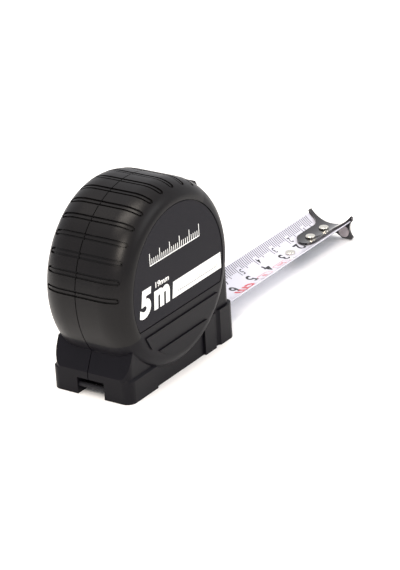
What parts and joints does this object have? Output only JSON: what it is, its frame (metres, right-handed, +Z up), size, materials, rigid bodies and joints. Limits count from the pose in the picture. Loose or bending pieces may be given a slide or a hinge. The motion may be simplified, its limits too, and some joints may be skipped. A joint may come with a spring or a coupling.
{
  "type": "tape measure",
  "caption": "Pocket tape measure with a round two-shell case, ribbed grip, flat base and a printed steel blade that slides out to a hook.",
  "frame": {"origin": "middle of the base's flat rest face", "axes": "+Z up from the rest face, +X the way the blade leaves the case, -Y the printed side"},
  "size_m": [0.1448, 0.0386, 0.0626],
  "materials": {
    "case_abs": "fine matt mould texture",
    "grip_rubber": "soft satin",
    "label_film": "fine-grained printed film",
    "zinc_steel": "bright zinc",
    "post_steel": "turned",
    "reel_plastic": "natural acetal",
    "spring_steel": "blued strip",
    "blade_lacquer": "clear-coated lacquer",
    "hook_black": "gloss black oxide",
    "magnet_nickel": "nickel plate",
    "rivet_steel": "bright",
    "guide_plastic": "slippery acetal",
    "bumper_rubber": "matt",
    "lock_abs": "fine matt",
    "clip_steel": "black electrocoat"
  },
  "bodies": {
    "case": {"case_left": "case_abs", "case_right": "case_abs", "grip_left": "grip_rubber", "grip_right": "grip_rubber", "label_left": "label_film", "label_right": "label_film", "case_screws": "zinc_steel", "spring_post": "post_steel", "mouth_guide": "guide_plastic", "mouth_bumper": "bumper_rubber", "pad_carrier": "guide_plastic", "belt_clip": "clip_steel", "clip_screw": "zinc_steel", "strap_pin": "clip_steel"},
    "reel_body": {"reel": "reel_plastic", "reel_cover": "reel_plastic", "mainspring": "spring_steel", "blade_coil": "blade_lacquer"},
    "blade_body": {"blade": "blade_lacquer", "hook_backing": "spring_steel", "hook_rivets": "rivet_steel"},
    "hook_body": {"hook_plate": "hook_black", "hook_magnets": "magnet_nickel"},
    "lock_body": {"lock_slider": "lock_abs"},
    "pad_body": {"lock_pad": "bumper_rubber", "lock_spring": "spring_steel"}
  },
  "joints": [
    {"name": "reel_spin", "type": "hinge", "parent": "case", "child": "reel_body", "pos_m": [-0.002, 0, 0.0324], "axis": [0, 1, 0], "range_deg": [-23.4, 99.8]},
    {"name": "blade_slide", "type": "slide", "parent": "case", "child": "blade_body", "axis": [1, 0, 0], "range_m": [-0.034, 0.008]},
    {"name": "hook_play", "type": "slide", "parent": "blade_body", "child": "hook_body", "axis": [1, 0, 0], "range_m": [-0.0005, 0.0005]},
    {"name": "lock_slide", "type": "slide", "parent": "case", "child": "lock_body", "axis": [0.454, 0, -0.891], "range_m": [0, 0.005]},
    {"name": "pad_press", "type": "slide", "parent": "case", "child": "pad_body", "axis": [0, 0, -1], "range_m": [0, 0.0006]}
  ],
  "couplings": [
    {"joint": "blade_slide", "follows": "reel_spin", "m_per_rad": -0.0195},
    {"joint": "pad_press", "follows": "lock_slide", "ratio": 0.12}
  ]
}
